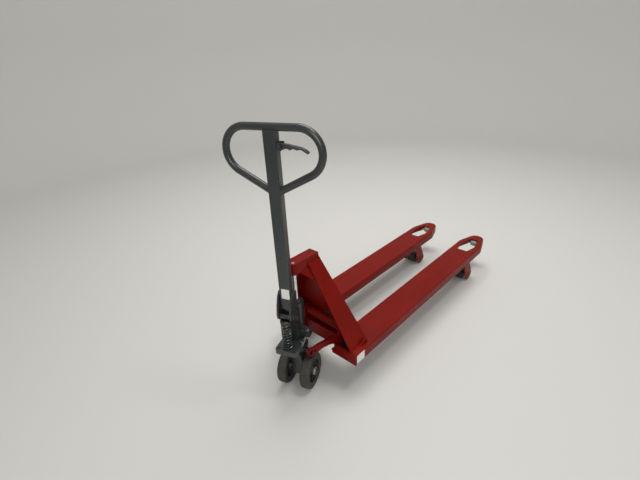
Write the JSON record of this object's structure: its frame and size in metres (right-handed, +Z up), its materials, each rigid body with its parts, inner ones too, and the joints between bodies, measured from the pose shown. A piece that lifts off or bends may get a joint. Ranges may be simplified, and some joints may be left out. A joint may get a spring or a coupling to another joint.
{
  "type": "pallet jack",
  "caption": "Hand pallet jack with two hollow forks, hydraulic pump, steering wheels, drawbar with a loop grip and load rollers under the fork tips.",
  "frame": {"origin": "on the floor, under the middle of the bounding box, forks raised", "axes": "+Z up, +Y towards the fork tips, +X to the right seen from the drawbar"},
  "size_m": [0.5, 1.7008, 1.2167],
  "materials": {
    "red_paint": "semi-gloss powder coat",
    "grey_paint": "semi-gloss paint",
    "steel": "zinc plated",
    "chrome": "polished",
    "spring_steel": "oiled",
    "tyre": "matt rubber",
    "hub": "black paint",
    "roller_tread": "worn nylon",
    "nylon": "matt",
    "lever": "satin",
    "label": "blank satin sticker"
  },
  "bodies": {
    "frame": {"fork_left": "red_paint", "fork_right": "red_paint", "heel_plate_left": "red_paint", "heel_plate_right": "red_paint", "entry_axle_left": "steel", "entry_axle_right": "steel", "bracket_pivot_pin_left": "steel", "bracket_pivot_pin_right": "steel", "leg_flange_left": "red_paint", "leg_flange_right": "red_paint", "bulkhead": "red_paint", "ram_head_box": "red_paint", "apex_gusset_left": "red_paint", "apex_gusset_right": "red_paint", "heel_cross_bar": "red_paint", "heel_gusset_left": "red_paint", "heel_gusset_right": "red_paint", "ram": "chrome", "rocker_shaft": "steel"},
    "entry_roller_left": {"entry_roller_left": "nylon"},
    "entry_roller_right": {"entry_roller_right": "nylon"},
    "rocker": {"torsion_tube": "red_paint", "lifting_arm_left": "red_paint", "lifting_arm_right": "red_paint", "rocker_crank_left": "red_paint", "rocker_crank_right": "red_paint"},
    "tie_rod_left": {"tie_rod_left": "steel"},
    "tie_rod_right": {"tie_rod_right": "steel"},
    "roller_bracket_left": {"roller_bracket_left": "red_paint", "load_roller_axle_left": "steel"},
    "roller_bracket_right": {"roller_bracket_right": "red_paint", "load_roller_axle_right": "steel"},
    "load_roller_left": {"load_roller_left": "roller_tread"},
    "load_roller_right": {"load_roller_right": "roller_tread"},
    "base": {"trunnion_block": "steel", "thrust_bearing": "steel"},
    "pump": {"pump_body": "grey_paint", "axle_carrier": "grey_paint", "ram_gland_nut": "grey_paint", "pump_spring": "spring_steel", "handle_pivot_pin": "steel", "valve_screw": "chrome", "wheel_axle": "steel"},
    "plunger": {"pump_plunger": "steel"},
    "release_lever": {"release_lever": "grey_paint"},
    "wheel_left": {"steer_tyre_left": "tyre", "steer_hub_left": "hub", "steer_bearing_left": "steel"},
    "wheel_right": {"steer_tyre_right": "tyre", "steer_hub_right": "hub", "steer_bearing_right": "steel"},
    "handle": {"handle_bracket": "grey_paint", "drawbar_stem": "grey_paint", "handle_loop": "grey_paint", "presser_pin": "steel", "trigger_bracket": "grey_paint", "trigger_pin": "steel"},
    "presser_roller": {"presser_roller": "steel"},
    "trigger": {"trigger_lever": "lever"},
    "release_rod": {"release_rod": "steel"}
  },
  "joints": [
    {"name": "lift", "type": "slide", "parent": "frame", "child": "base", "axis": [0, 0, 1], "range_m": [0, 0.118]},
    {"name": "rocker_swing", "type": "hinge", "parent": "frame", "child": "rocker", "pos_m": [0, -0.52363, 0.252], "axis": [-1, 0, 0], "range_deg": [0, 37.2]},
    {"name": "steer", "type": "hinge", "parent": "base", "child": "pump", "pos_m": [0, -0.69863, 0.255], "axis": [0, 0, 1], "range_deg": [-111, 69]},
    {"name": "wheel_spin_left", "type": "hinge", "parent": "pump", "child": "wheel_left", "pos_m": [-0.04486, -0.73942, 0.085], "axis": [0.9336, 0.3584, 0], "continuous": true},
    {"name": "wheel_spin_right", "type": "hinge", "parent": "pump", "child": "wheel_right", "pos_m": [0.06063, -0.69892, 0.085], "axis": [0.9336, 0.3584, 0], "continuous": true},
    {"name": "handle_swing", "type": "hinge", "parent": "pump", "child": "handle", "pos_m": [0.02544, -0.76492, 0.416], "axis": [0.9336, 0.3584, 0], "range_deg": [0, 72], "stiffness_Nm_per_rad": 45, "springref_deg": -14.32},
    {"name": "plunger_stroke", "type": "slide", "parent": "pump", "child": "plunger", "axis": [0, 0, -1], "range_m": [0, 0.0472], "deforming": ["pump_spring"]},
    {"name": "presser_spin", "type": "hinge", "parent": "handle", "child": "presser_roller", "pos_m": [0.03705, -0.79516, 0.4395], "axis": [0.9336, 0.3584, 0], "continuous": true},
    {"name": "trigger_squeeze", "type": "hinge", "parent": "handle", "child": "trigger", "pos_m": [0.0584, -0.75869, 1.14], "axis": [0.3584, -0.9336, 0], "range_deg": [-12, 16], "stiffness_Nm_per_rad": 3},
    {"name": "release_rod_pull", "type": "slide", "parent": "handle", "child": "release_rod", "axis": [0, 0, 1], "range_m": [-0.0044, 0.0058]},
    {"name": "release_lever_turn", "type": "hinge", "parent": "pump", "child": "release_lever", "pos_m": [0.05283, -0.71905, 0.345], "axis": [0.3584, -0.9336, 0], "range_deg": [-12.2, 16.2]},
    {"name": "tie_rod_swing_left", "type": "hinge", "parent": "rocker", "child": "tie_rod_left", "pos_m": [-0.175, -0.50663, 0.2015], "axis": [1, 0, 0], "range_deg": [0, 37.2]},
    {"name": "bracket_swing_left", "type": "hinge", "parent": "frame", "child": "roller_bracket_left", "pos_m": [-0.175, 0.54637, 0.16], "axis": [1, 0, 0], "range_deg": [0, 64.2]},
    {"name": "load_roller_spin_left", "type": "hinge", "parent": "roller_bracket_left", "child": "load_roller_left", "pos_m": [-0.175, 0.60237, 0.04], "axis": [1, 0, 0], "continuous": true},
    {"name": "entry_roller_spin_left", "type": "hinge", "parent": "frame", "child": "entry_roller_left", "pos_m": [-0.175, 0.78337, 0.177], "axis": [1, 0, 0], "continuous": true},
    {"name": "tie_rod_swing_right", "type": "hinge", "parent": "rocker", "child": "tie_rod_right", "pos_m": [0.175, -0.50663, 0.2015], "axis": [1, 0, 0], "range_deg": [0, 37.2]},
    {"name": "bracket_swing_right", "type": "hinge", "parent": "frame", "child": "roller_bracket_right", "pos_m": [0.175, 0.54637, 0.16], "axis": [1, 0, 0], "range_deg": [0, 64.2]},
    {"name": "load_roller_spin_right", "type": "hinge", "parent": "roller_bracket_right", "child": "load_roller_right", "pos_m": [0.175, 0.60237, 0.04], "axis": [1, 0, 0], "continuous": true},
    {"name": "entry_roller_spin_right", "type": "hinge", "parent": "frame", "child": "entry_roller_right", "pos_m": [0.175, 0.78337, 0.177], "axis": [1, 0, 0], "continuous": true}
  ],
  "couplings": [
    {"joint": "rocker_swing", "follows": "lift", "rad_per_m": 5.4964},
    {"joint": "plunger_stroke", "follows": "handle_swing", "m_per_rad": 0.0374},
    {"joint": "release_rod_pull", "follows": "trigger_squeeze", "m_per_rad": 0.02},
    {"joint": "release_lever_turn", "follows": "trigger_squeeze", "ratio": 1},
    {"joint": "tie_rod_swing_left", "follows": "lift", "rad_per_m": 5.4964},
    {"joint": "bracket_swing_left", "follows": "lift", "rad_per_m": 9.4839},
    {"joint": "tie_rod_swing_right", "follows": "lift", "rad_per_m": 5.4964},
    {"joint": "bracket_swing_right", "follows": "lift", "rad_per_m": 9.4839}
  ]
}
